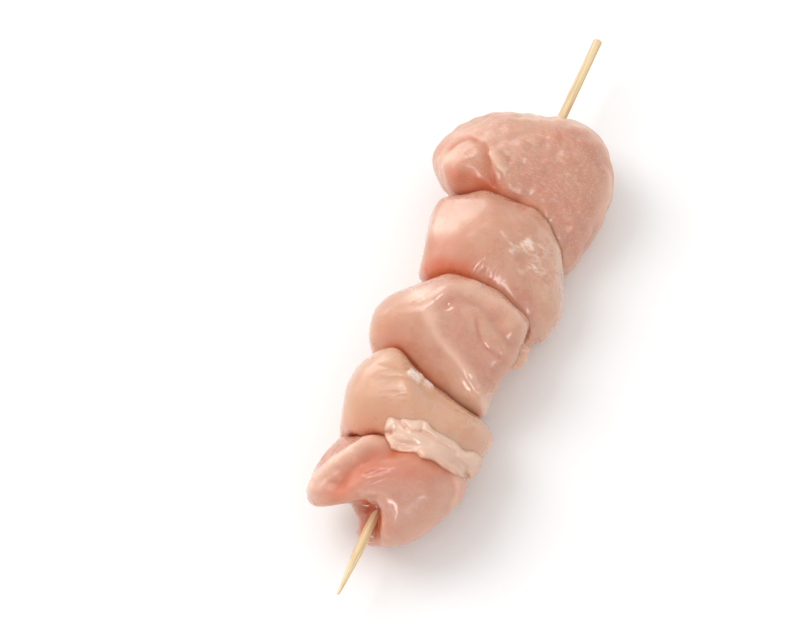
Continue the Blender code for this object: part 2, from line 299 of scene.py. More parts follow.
        line(4.0, (-21.5, -0.6), (-18.8, 0.6), lift=2.6, deep=0.05),
        # painted light on the lobe's upper left
        line(2.2, (-21.5, 2.6), (-19.5, 3.2), pale=0.22),
        # painted shade in the crease round the lobe
        line(0.9, (-26.5, 2.8), (-24, 5.6), (-19.5, 7.0), (-15.8, 5.6), (-14.4, 2.2), (-13.8, -3),
             (-12.6, -7), lift=-1.0, deep=0.42),
        line(1.4, (-13.0, 4.0), (-12.0, 1.6), (-10.8, -0.6), (-8.8, -2.2), lift=0.95, pale=0.62),
        line(0.9, (-10.4, 3.4), (-8.8, 1.4), lift=-0.5, deep=0.12),
        line(4.2, (-26, 8), (-18, 10.4), (-8, 10.6), (-2, 8), pale=0.15, fleck=0.14),
        line(3.0, (-18, 8), (-11, 9.6), matte=0.8),
        # painted light on the lobe's left side
        line(3.4, (-27, -0.5), (-24.5, 2.2), pale=0.75),
        line(5.2, (0, -4), (4, -9), (7, -14), (9.5, -20), pink=0.7, deep=0.07),
        # painted shade under the lobe, at the contact with the fourth chunk
        line(3.0, (-22, -3), (-18, -3.2), (-14.5, -5), deep=0.56),
    ],
    "combs": [comb(13, (2, -2), -38, 0.035), comb(6, (-6, 9), 70, 0.035)],
    "look": {"peach": 0.44, "speckle": 0.48, "grain": 0.4, "fine": 1.5, "wet": 0.25, "rough": 0.31},
    "rugged": 0.2,
}]


def outlineRadii(chunk):
    # the outline's radius for every half degree: corners joined by straight lines, then softened by a bell
    corners = np.array(chunk["outline"], float)
    share = np.linspace(0, 1, 24, endpoint=False)[:, None, None]
    edge = (corners * (1 - share) + np.roll(corners, -1, axis=0) * share).reshape(-1, 2)
    angle = np.arctan2(edge[:, 1], edge[:, 0])
    order = np.argsort(angle)
    steps = np.arange(halfDegrees) * 2 * np.pi / halfDegrees - np.pi
    radii = np.interp(steps, angle[order], np.hypot(*edge.T)[order], period=2 * np.pi)
    wave = np.fft.rfftfreq(halfDegrees, d=1 / halfDegrees)
    bell = np.exp(-0.5 * (wave * math.radians(chunk["soften"])) ** 2)
    return np.fft.irfft(np.fft.rfft(radii) * bell, halfDegrees)


def lumps(chunk, directions):
    # gentle unevenness: slow sine waves over the directions, as a share of the radius
    rng = np.random.default_rng(int(chunk["at"] * 2 + 400))
    waves = rng.normal(size=(chunkForm["waves"], 3)) * chunkForm["waveRate"]
    phases = rng.uniform(0, 2 * np.pi, chunkForm["waves"])
    total = np.sin(directions @ waves.T + phases).sum(axis=1)
    return 1 + chunkForm["waveHeight"] * total / math.sqrt(chunkForm["waves"] / 2)


def baseRadius(chunk, directions):
    # super-ellipsoid in mm: the outline's radius in its plane, rise or sink out of it
    a, b, k = directions @ across, directions @ along, directions @ out
    ring = np.interp((np.arctan2(b, a) + np.pi) * halfDegrees / (2 * np.pi), np.arange(halfDegrees + 1),
                     np.append(chunk["radii"], chunk["radii"][0]))
    sink = chunkForm["sink"] + (chunk["sinkLeft"] - chunkForm["sink"]) * np.clip(-a, 0, 1) ** 2
    power = chunkForm["squareness"]
    flat = (np.hypot(a, b) / ring) ** power + (np.abs(k) / np.where(k > 0, chunk["rise"], sink)) ** power
    return flat ** (-1 / power) * lumps(chunk, directions)


def fullness(chunk, points):
    # 0 at the chunk's centre and 1 on its free surface, for points in mm about the stick's middle
    offset = points - (chunk["at"], 0, 0)
    reach = np.linalg.norm(offset, axis=1)
    return reach / baseRadius(chunk, offset / np.maximum(reach, 1e-6)[:, None])


def surfaceTable(surface, rows, columns):
    # a finished chunk's radii as a grid, its poles made into rings and the first column repeated
    grid = np.vstack((np.full(columns, surface[-2]), surface[:-2].reshape(rows, columns),
                      np.full(columns, surface[-1])))
    return np.hstack((grid, grid[:, :1]))


def readGrid(grid, row, column):
    # the value between the four grid points about each place, given in steps of the grid
    r = np.minimum(row.astype(int), grid.shape[0] - 2)
    c = np.minimum(column.astype(int), grid.shape[1] - 2)
    row, column = row - r, column - c
    low = grid[r, c] * (1 - column) + grid[r, c + 1] * column
    high = grid[r + 1, c] * (1 - column) + grid[r + 1, c + 1] * column
    return low * (1 - row) + high * row


def readTable(table, directions):
    # the radius in any direction
    row = np.arccos(np.clip(-directions[:, 0], -1, 1)) / np.pi * (table.shape[0] - 1)
    column = np.arctan2(directions[:, 2], directions[:, 1]) / (2 * np.pi) % 1 * (table.shape[1] - 1)
    return readGrid(table, row, column)


def distanceTo(other, points):
    # how far points, in mm about the stick's middle, lie outside a finished chunk
    offset = points - (other["at"], 0, 0)
    distance = np.linalg.norm(offset, axis=1)
    return distance - readTable(other["table"], offset / distance[:, None])


def firstMeeting(directions, reach, blocked, steps=40, halvings=9, nearest=0.1, furthest=1.03):
    # how far each direction runs from the centre before blocked(points) turns true, farAway where it never
    # does: even steps from the nearest share of reach to the furthest find the stretch, which is then halved
    shares = np.linspace(nearest, furthest, steps)
    near, far = reach * shares[0], np.full(len(reach), farAway)
    for low, high in zip(shares, shares[1:]):
        hit = (far == farAway) & blocked(directions * (reach * high)[:, None])
        near, far = np.where(hit, reach * low, near), np.where(hit, reach * high, far)
    met = far < farAway
    for _ in range(halvings):
        middle = (near + far) / 2
        inside = blocked(directions * middle[:, None])
        near, far = np.where(met & ~inside, middle, near), np.where(met & inside, middle, far)
    return np.where(met, near, farAway)


def limitBehind(chunk, other, directions, radius):
    # the front chunk ends where its fullness passes that of the one behind by the lead
    def blocked(points):
        whole = points + (chunk["at"], 0, 0)
        return np.linalg.norm(points, axis=1) / radius > fullness(other, whole) + chunkForm["frontLead"]
    return firstMeeting(directions, radius, blocked)


def limitAhead(chunk, other, directions, radius):
    # the chunk behind fits round the finished surface of the one in front
    def blocked(points):
        offset = points + (chunk["at"] - other["at"], 0, 0)
        distance = np.linalg.norm(offset, axis=1)
        return distance < readTable(other["table"], offset / distance[:, None]) - chunkForm["pressed"]
    return firstMeeting(directions, radius, blocked)


def roundedGreater(a, b, width):
    # the greater of two lengths, its corner filled in over the width
    return np.maximum(a, b) + np.clip(width - np.abs(a - b), 0, None) ** 2 / (4 * width)


notchForm = {
    "side": -1.3, "sideBend": 0.03,  # mm across where the wall stands, and how it curves
    "top": -2.5, "topBend": 0.045,  # mm along where the arch begins
    "middle": -6.5, "floor": 3.6,
    "inner": 1.8, "rim": 4.0,  # mm, rounding of its corners and of its outer edge
    "uneven": 0.6, "unevenSize": 3.0,
}


def openNotch(directions, surface, seed):
    # the open corner under the first chunk's raised fold: a curved wall, an arched top and a floor, with
    # the rim where they meet the outside rounded over
    def blocked(points):
        a, b, k = points @ across, points @ along, points @ out
        bumps = roughNoise(points, notchForm["unevenSize"], seed, 2) * notchForm["uneven"]
        wall = a - (notchForm["side"] - notchForm["sideBend"] * (b - notchForm["middle"]) ** 2) + bumps
        roof = b - (notchForm["top"] - notchForm["topBend"] * (a - notchForm["middle"]) ** 2) + bumps
        floor = notchForm["floor"] - k + bumps
        hollow = roundedGreater(roundedGreater(wall, roof, notchForm["inner"]), floor, notchForm["inner"])
        return roundedGreater(np.linalg.norm(points, axis=1) - surface, -hollow, notchForm["rim"]) > 0
    return np.minimum(firstMeeting(directions, surface, blocked, steps=60), surface)


def facetLimit(facet, directions):
    # distance to a flat cut: (n . p) / (n . d), with n = (slope across, slope along, 1)
    normal = across * facet["slope"][0] + along * facet["slope"][1] + out
    a, b, k = facet["at"]
    facing = directions @ normal
    least = 0.02  # directions flatter than this never meet it
    reach = ((across * a + along * b + out * k) @ normal) / np.maximum(facing, least)
    return np.where(facing > least, reach, farAway)


# pale is membrane and, from some marks, painted highlight and sheen; deep is painted shade in creases, at
# contacts and in the notch, and from some marks redder flesh
tints = ("pale", "fleck", "deep", "pink", "matte")
markForm = {
    "warp": 0.5, "warpSize": 4.0, "warpFade": 0.35,  # mm, how far the lines wander
    "long": 4, "taper": 6, "tip": 0.25,  # a path over 4 widths long tapers to a quarter at its ends
}


def markField(marks, places, seed):
    # lifts and tints of all marks: a bell-shaped line about each path, or a step that fades on both sides
    field = {name: np.zeros(len(places)) for name in ("lift", *tints)}
    flat = np.column_stack((places, np.zeros(len(places))))
    warp = [roughNoise(flat, markForm["warpSize"], seed + n, 2, markForm["warpFade"]) for n in (0, 5)]
    warped = places + np.column_stack(warp) * markForm["warp"]
    for mark in marks:
        gap, side, share = pathDistance(warped, mark["path"])
        bell = np.exp(-(gap / mark["width"]) ** 2)
        taper = np.ones(len(places))
        if np.hypot(*np.diff(mark["path"], axis=0).T).sum() > markForm["long"] * mark["width"]:
            taper = np.clip(np.minimum(share, 1 - share) * markForm["taper"] + markForm["tip"], 0, 1)
        for name in ("lift", *tints):
            field[name] += mark.get(name, 0) * bell * taper
        if "step" in mark:
            rise = np.tanh(gap * side / mark["width"]) * np.exp(-(gap / mark["reach"]) ** 2)
            field["lift"] += mark["step"] * rise * taper
    return field


foldForm = {
    "count": 5, "heights": (0.6, 1.3),  # shares of relief["folds"]
    "warp": 0.16, "warpSize": 0.5,
    "sharpness": 0.035, "width": 0.35, "reach": 0.45,
    "middles": (0.5, 1, 1),  # their spread along the stick, and to its sides
}


def sideFolds(chunk, directions):
    # folds over the sides and underside: steps across warped circles, each fading away from a middle that
    # tends to lie off the stick's ends
    rng = np.random.default_rng(int(chunk["at"]) + 900)
    seed = int(chunk["at"]) + 60
    warp = [roughNoise(directions, foldForm["warpSize"], seed + n, 2) for n in range(3)]
    warped = directions + np.column_stack(warp) * foldForm["warp"]
    total = np.zeros(len(directions))
    for _ in range(foldForm["count"]):
        middle = rng.normal(size=3) * foldForm["middles"]
        middle /= np.linalg.norm(middle)
        normal = np.cross(middle, rng.normal(size=3))
        normal /= np.linalg.norm(normal)
        gap = warped @ normal
        window = np.exp(-((directions - middle) ** 2).sum(axis=1) / foldForm["reach"])
        step = rng.uniform(*foldForm["heights"]) * np.tanh(gap / foldForm["sharpness"])
        total += step * np.exp(-(gap / foldForm["width"]) ** 2) * window
    return total


def swells(points, size, seed, count=10, spread=(0.7, 1.5)):
    # soft rises: sine waves in random directions, of the size given over a number in the spread
    rng = np.random.default_rng(seed)
    waves = rng.normal(size=(count, 3))
    waves *= (2 * np.pi / size / np.linalg.norm(waves, axis=1) * rng.uniform(*spread, count))[:, None]
    return np.sin(points @ waves.T + rng.uniform(0, 2 * np.pi, count)).sum(axis=1) / math.sqrt(count)


ridgeLength = 3.6  # mm


def combField(combs, base, places, seed):
    # patches of fine ridges: drawn-out noise times a bell about each patch's middle
    total = np.zeros(len(base))
    for number, patch in enumerate(combs):
        angle = math.radians(patch["turn"])
        grain = across * math.cos(angle) + along * math.sin(angle)
        bell = np.exp(-(((places - patch["at"]) ** 2).sum(axis=1) / patch["reach"] ** 2) ** 1.5)
        ridges = grainNoise(base, grain, ridgeLength, patch["width"], seed + 7 * number)
        total += patch["lift"] * bell * ridges
    return total


def restOnGround(points):
    # flattens what would go below the ground, with a rounded edge: (depth + width)^2 / (4 * width)
    width = chunkForm["groundRound"] * mm
    depth = points[:, 2] / width
    eased = np.where(depth < -1, 0, np.where(depth > 1, depth, (depth + 1) ** 2 / 4))
    return np.column_stack((points[:, 0], points[:, 1], eased * width))


def closedRings(rows, columns):
    # faces of a closed grid: quads between rings, and fans to the two poles, which are the last two points
    ring = np.arange((rows - 1) * columns).reshape(rows - 1, columns)
    after = ring + columns
    quads = np.stack((ring, np.roll(ring, -1, 1), np.roll(after, -1, 1), after), -1).reshape(-1, 4)
    first, last = np.arange(columns), np.arange(columns) + (rows - 1) * columns
    low = np.stack((np.full(columns, rows * columns), np.roll(first, -1), first), -1)
    high = np.stack((np.full(columns, rows * columns + 1), last, np.roll(last, -1)), -1)
    return quads.tolist() + low.tolist() + high.tolist()


def newObject(name, data):
    thing = bpy.data.objects.new(name, data)
    bpy.context.scene.collection.objects.link(thing)
    return thing


def meshPiece(name, points, faces):
    # a closed mesh at the origin, its faces turned round if the one in the middle points inwards
    mesh = bpy.data.meshes.new(name)
    mesh.from_pydata(points, [], faces)
    mesh.update()
    corners = np.array([mesh.vertices[i].co for i in mesh.polygons[len(mesh.polygons) // 2].vertices])
    middle = points.mean(axis=0)
    if np.cross(corners[1] - corners[0], corners[2] - corners[1]) @ (corners[0] - middle) < 0:
        mesh.flip_normals()
    mesh.shade_smooth()
    return newObject(name, mesh)


def rowsOf(items, name):
    # a row of three numbers from each item, such as every point's place or normal
    values = np.zeros(len(items) * 3, np.float32)
    items.foreach_get(name, values)
    return values.reshape(-1, 3)


def movePoints(mesh, points):
    # gives every point its new place, in metres
    mesh.vertices.foreach_set("co", points.astype(np.float32).ravel())
    mesh.update()


def paint(mesh, field):
    # keeps each tint's strength, from 0 to 1, on the points for the material to read
    for name in tints:
        layer = mesh.attributes.new(name, "FLOAT", "POINT")
        layer.data.foreach_set("value", np.clip(field[name], 0, 1).astype(np.float32))


def ringBlur(values, rows, columns, reach):
    # mean over a window of the grid: along the rings and across them, poles left out
    grid = values[:rows * columns].reshape(rows, columns, -1)
    total = sum(np.roll(grid, s, axis=1) for s in range(-reach, reach + 1)) / (2 * reach + 1)
    stacked = np.concatenate((total[:1].repeat(reach, 0), total, total[-1:].repeat(reach, 0)))
    summed = sum(stacked[s:s + rows] for s in range(2 * reach + 1))
    return summed.reshape(rows * columns, -1) / (2 * reach + 1)


def finish(piece, node, material):
    # the material, and what the piece rides on and stands for
    piece.data.materials.append(material)
    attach(piece, "root")
    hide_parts(node)
    return piece


class Wire:
    # a node's output, with arithmetic: each operator adds a Math node
    def __init__(self, book, socket):
        self.book, self.socket = book, socket

    def math(self, operation, a, b):
        return self.book.add("ShaderNodeMath", {"operation": operation}, {0: a, 1: b})

    def __add__(self, other):
        return self.math("ADD", self, other)

    def __sub__(self, other):
        return self.math("SUBTRACT", self, other)

    def __rsub__(self, other):
        return self.math("SUBTRACT", other, self)

    def __mul__(self, other):
        return self.math("MULTIPLY", self, other)

    __radd__ = __add__
    __rmul__ = __mul__


class MaterialBook:
    # one material's nodes, which all lead to its shader
    def __init__(self, name):
        self.material = bpy.data.materials.new(name)
        self.material.use_nodes = True
        self.tree = self.material.node_tree
        self.shader = self.tree.nodes["Principled BSDF"]

    def fill(self, node, name, value):
        # a socket takes a link from a wire, or a fixed value
        if isinstance(value, Wire):
            self.tree.links.new(value.socket, node.inputs[name])
        else:
            node.inputs[name].default_value = value

    def add(self, kind, settings, sockets, output=0):
        # a node with these settings and sockets, known by one of its outputs
        node = self.tree.nodes.new(kind)
        for name, value in settings.items():
            setattr(node, name, value)
        for name, value in sockets.items():
            self.fill(node, name, value)
        return Wire(self, node.outputs[output])

    def feed(self, name, value):
        # fills a socket of the shader
        self.fill(self.shader, name, value)

    def mix(self, mask, a, b):
        # colour a where the mask is 0, b where it is 1
        a, b = (value if isinstance(value, Wire) else (*value, 1) for value in (a, b))
        return self.add("ShaderNodeMix", {"data_type": "RGBA"}, {0: mask, 6: a, 7: b}, 2)

    def steps(self, value, limits):
        # 0 below the lower limit, 1 above the upper, eased between them
        return self.add("ShaderNodeMapRange", {"interpolation_type": "SMOOTHSTEP"},
                        {0: value, 1: limits[0], 2: limits[1], 3: 0.0, 4: 1.0})

    def layer(self, name):
        # what was painted on the points under this name
        return self.add("ShaderNodeAttribute", {"attribute_name": name}, {}, 2)

    def place(self, scale=(1, 1, 1), turned=(0, 0, 0)):
        # object coordinates, turned by three angles and then scaled
        where = self.add("ShaderNodeTexCoord", {}, {}, 3)
        return self.add("ShaderNodeMapping", {}, {0: where, 2: turned, 3: scale})

    def noise(self, where, scale, detail, rough, twist=0.0):
        # scale is in waves for each metre
        return self.add("ShaderNodeTexNoise", {}, {"Vector": where, "Scale": scale, "Detail": detail,
                                                   "Roughness": rough, "Distortion": twist})

    def bump(self, height, distance, strength):
        # the surface's direction, tilted as if it stood out by height times the distance in m
        return self.add("ShaderNodeBump", {}, {"Height": height, "Distance": distance, "Strength": strength})


meatLook = {
    "cutFlesh": (0.605, 0.300, 0.215), "outerFlesh": (0.665, 0.385, 0.25),
    # the deep colour is painted shade in creases, at contacts and in the notch, and redder flesh in places
    "membraneAndSheen": (0.82, 0.57, 0.44), "fat": (0.95, 0.86, 0.76), "redAndShade": (0.63, 0.165, 0.075),
    "grain": 0.3, "fine": 1.0,  # for looks that have none of their own
    "Subsurface Weight": 0.85, "Subsurface Scale": 0.0028, "Subsurface Radius": (1.0, 0.32, 0.17),
    "rough": 0.28, "Coat Roughness": 0.16, "IOR": 1.42,
    # each noise: scale, detail, roughness, distortion
    "clouds": (60.0, 2.0, 0.5), "mottle": (240.0, 3.0, 0.6), "streaks": (950.0, 3.0, 0.6, 0.8),
    "specks": (1500.0, 2.0, 0.5, 0.5), "broken": (520.0, 3.0, 0.65, 1.2),
    # the noise values between which each layer sets in
    "toneSteps": (0.15, 0.85), "veilSteps": (0.62, 1.02), "speckSteps": (0.52, 0.74),
    "brokenSteps": (0.36, 0.62), "fatSteps": (0.05, 0.95), "wetSteps": (0.28, 0.64),
    "veil": 0.10, "bump": (0.0004, 0.2),
    # how much one thing adds to another
    "pinkTone": 0.5, "veilStreaks": 0.5, "speckSpecks": 0.6, "speckStreaks": 0.5, "solidFat": 0.35,
    "mottleRough": 0.2, "matteRough": 0.25,
}


def meatMaterial(name, grainTurn, look):
    # two flesh tones in soft clouds, a thin pale veil, fine flecks along the grain, then what was painted:
    # pale membrane that in places is painted highlight and sheen, broken white fat, and the deep colour that
    # is painted shade in creases, at contacts and in the notch, and in places redder flesh; wet in clouds
    # where it isn't matte
    book = MaterialBook(name)
    own = {**meatLook, **look}
    where = book.place()
    combed = book.place(scale=(own["fine"], own["fine"] * own["grain"], own["fine"]), turned=grainTurn)
    clouds = book.noise(where, *own["clouds"])
    mottle = book.noise(where, *own["mottle"])
    streaks = book.noise(combed, *own["streaks"])
    specks = book.noise(combed, *own["specks"])
    pale, fleck, deep, pink, matte = (book.layer(tint) for tint in tints)
    tone = book.steps(clouds + (own["peach"] - 0.5) - pink * own["pinkTone"], own["toneSteps"])
    flesh = book.mix(tone, own["cutFlesh"], own["outerFlesh"])
    veil = book.steps(mottle + streaks * own["veilStreaks"], own["veilSteps"])
    flesh = book.mix(veil * own["veil"], flesh, own["membraneAndSheen"])
    speckled = book.steps(specks * own["speckSpecks"] + streaks * own["speckStreaks"], own["speckSteps"])
    flesh = book.mix(speckled * own["speckle"], flesh, own["membraneAndSheen"])
    # pale: membrane colour, and where marks put it, painted highlight and sheen
    flesh = book.mix(pale, flesh, own["membraneAndSheen"])
    broken = book.steps(book.noise(combed, *own["broken"]), own["brokenSteps"])
    flesh = book.mix(book.steps(fleck * (own["solidFat"] + broken), own["fatSteps"]), flesh, own["fat"])
    # painted shade: deep mixes in the dark red of creases, contacts and the notch, and of redder flesh
    flesh = book.mix(deep, flesh, own["redAndShade"])
    book.feed("Base Color", flesh)
    rough = own["rough"] + mottle * own["mottleRough"] - own["mottleRough"] / 2
    book.feed("Roughness", rough + matte * own["matteRough"])
    book.feed("Coat Weight", own["wet"] * book.steps(clouds, own["wetSteps"]) * (1 - matte))
    book.feed("Normal", book.bump(mottle, *own["bump"]))
    book.shader.subsurface_method = "RANDOM_WALK"
    for socket in ("Subsurface Weight", "Subsurface Radius", "Subsurface Scale", "IOR", "Coat Roughness"):
        book.feed(socket, own[socket])
    return book.material


woodLook = {
    "light": (0.92, 0.745, 0.465), "dark": (0.66, 0.44, 0.21), "rough": 0.55,
    "stretch": (0.03, 1.0, 1.0),  # along the stick and to its sides
    "fibres": (2600.0, 4.0, 0.6), "bands": (700.0, 2.0, 0.5), "darkSteps": (0.42, 0.80),
    "bump": (0.0001, 0.6),
    "darkFibres": 0.7, "darkBands": 0.5, "fibreRough": 0.2,  # how much one thing adds to another
}


def woodMaterial():
    # long pale grain lines along the stick, with a few darker fibres
    book = MaterialBook("paleStickWood")
    combed = book.place(scale=woodLook["stretch"])
    fibres = book.noise(combed, *woodLook["fibres"])
    bands = book.noise(combed, *woodLook["bands"])
    dark = fibres * woodLook["darkFibres"] + bands * woodLook["darkBands"]
    tint = book.steps(dark, woodLook["darkSteps"])
    book.feed("Base Color", book.mix(tint, woodLook["light"], woodLook["dark"]))
    book.feed("Roughness", woodLook["rough"] + fibres * woodLook["fibreRough"])
    book.feed("Normal", book.bump(fibres, *woodLook["bump"]))
    return book.material


relief = {
    "folds": 0.9,  # mm, the folds of the sides
    "swell": 0.15, "swellSize": 11.0,  # soft rises all over
    "ruggedSize": 5.0,  # smaller rises of the roughest chunk
    "grit": 0.012, "gritSize": 1.2,  # fine unevenness
    "groundFade": 0.6,  # mm above the ground over which combs and grit set in
}
shadeForm = {
    "contact": 0.45, "contactRun": 22.0, "contactLimits": (0.14, 0.9), "contactReach": 1.4,
    "notch": 0.95, "notchFrom": 1.2, "notchOver": 3.5,  # mm below the whole surface
    "ridge": 0.3, "ridgeMost": 0.1,  # pale on what stands out, for each mm
    "crease": 0.7, "creaseMost": 0.2,  # deep colour in what lies low
    "around": 4,  # grid steps over which out and low are judged
}


def gridDirections(rows, columns):
    # unit directions from a chunk's centre: rings about the stick from its point end, then the two poles
    tilt = np.pi * np.arange(1, rows + 1)[:, None] / (rows + 1)
    spin = 2 * np.pi * np.arange(columns)[None, :] / columns
    ring = np.stack((-np.cos(tilt) + 0 * spin, np.sin(tilt) * np.cos(spin), np.sin(tilt) * np.sin(spin)), -1)
    return np.vstack((ring.reshape(-1, 3), ((-1, 0, 0), (1, 0, 0))))


def shapeChunk(number, directions, radius, places, field, seed):
    # the finished radius in every direction: the body cut by its facets, marks, folds and swells added,
    # the notch carved, a valley beside the chunk in front, and an end where a neighbour is met. Also
    # returns how deep the notch is there and how far away the chunk in front is.
    chunk = chunks[number]
    surface = radius
    for facet in chunk.get("facets", ()):
        surface = easedLesser(surface, facetLimit(facet, directions), facet["round"])
    beneath = np.clip(-(directions @ out + chunkForm["foldsFrom"]) / chunkForm["foldsOver"], 0, 1)
    surface = surface + field["lift"] + relief["folds"] * beneath * sideFolds(chunk, directions)
    base = directions * radius[:, None]
    surface += relief["swell"] * swells(base, relief["swellSize"], seed + 3)
    surface += chunk.get("rugged", 0) * swells(base, relief["ruggedSize"], seed + 4)
    depth, away = np.zeros(len(directions)), np.full(len(directions), farAway)
    if "notch" in chunk:
        whole, surface = surface, openNotch(directions, surface, seed)
        depth = whole - surface
    if number:
        points = directions * surface[:, None] + (chunk["at"], 0, 0)
        away = np.clip(distanceTo(chunks[number - 1], points), 0, farAway)
        inward = np.clip(chunkForm["valleyShare"] - places[:, 0] / chunkForm["valleyRun"],
                         chunkForm["valleyLeast"], 2)
        inward = chunkForm["valley"] * inward * chunk.get("gape", 1)
        surface = surface - inward * np.exp(-away / chunkForm["valleyReach"])
    for other, limit in ((number - 1, limitAhead), (number + 1, limitBehind)):
        if 0 <= other < len(chunks):
            length = limit(chunk, chunks[other], directions, radius)
            surface = easedLesser(surface, length, chunkForm["contactRound"])
    return surface, depth, away


def shadeChunk(field, number, places, points, normals, depth, away):
    # painted shade: deep colour at the contact with the chunk in front, stronger towards the left, in the
    # notch and in creases; and ridges painted paler
    form = shadeForm
    shade = np.zeros(len(points))
    if number:
        shade = np.exp(-away / form["contactReach"])
        shade = shade * np.clip(form["contact"] - places[:, 0] / form["contactRun"], *form["contactLimits"])
    shade = shade + form["notch"] * np.clip((depth - form["notchFrom"]) / form["notchOver"], 0, 1)
    low = np.zeros(len(points))
    smooth = ringBlur(points, chunkForm["endwise"], chunkForm["around"], form["around"])
    low[:-2] = ((smooth - points[:-2]) * normals[:-2]).sum(axis=1) / mm
    field["pale"] += np.clip(-low * form["ridge"], 0, form["ridgeMost"])
    field["deep"] += np.clip(low * form["crease"], 0, form["creaseMost"])
    field["deep"] += shade


def makeChunk(number, material):
    # radii over a grid of directions, flattened on the ground, with combs and grit along the normals
    chunk = chunks[number]
    rows, columns = chunkForm["endwise"], chunkForm["around"]
    seed = 40 * number + 11
    directions = gridDirections(rows, columns)
    radius = baseRadius(chunk, directions)
    base = directions * radius[:, None]
    upper = np.clip(directions @ out / chunkForm["upperFade"], 0, 1)
    places = np.column_stack((base @ across, base @ along))
    field = {name: values * upper for name, values in markField(chunk["marks"], places, seed).items()}
    surface, depth, away = shapeChunk(number, directions, radius, places, field, seed)
    chunk["table"] = surfaceTable(surface, rows, columns)
    points = directions * surface[:, None] * mm + (chunk["at"] * mm, stickSide, stickHeight)
    points = restOnGround(points)
    piece = meshPiece("turkeyChunk%d" % (number + 1), points, closedRings(rows, columns))
    normals = rowsOf(piece.data.vertex_normals, "vector").astype(float)
    grit = roughNoise(points / mm, relief["gritSize"], seed + 25, 2) * relief["grit"]
    lifted = (grit + combField(chunk["combs"], points / mm, places, seed + 20) * upper) * mm
    off = np.clip(points[:, 2] / (relief["groundFade"] * mm), 0, 1)
    points = points + normals * (lifted * off)[:, None]
    movePoints(piece.data, points)
    shadeChunk(field, number, places, points, normals, depth, away)
    paint(piece.data, field)
    return finish(piece, chunk["node"], material)


for chunk in chunks:
    chunk["radii"] = outlineRadii(chunk)
# the grain of each chunk is turned a little further than that of the one before
meats = [meatMaterial("turkeyMeat%d" % (n + 1), (0.3 * n, 0.4, 0.5 + 0.35 * n), chunk["look"])
         for n, chunk in enumerate(chunks)]
chunkPieces = [makeChunk(number, meats[number]) for number in range(len(chunks))]
print("chunks made:", [len(piece.data.vertices) for piece in chunkPieces])


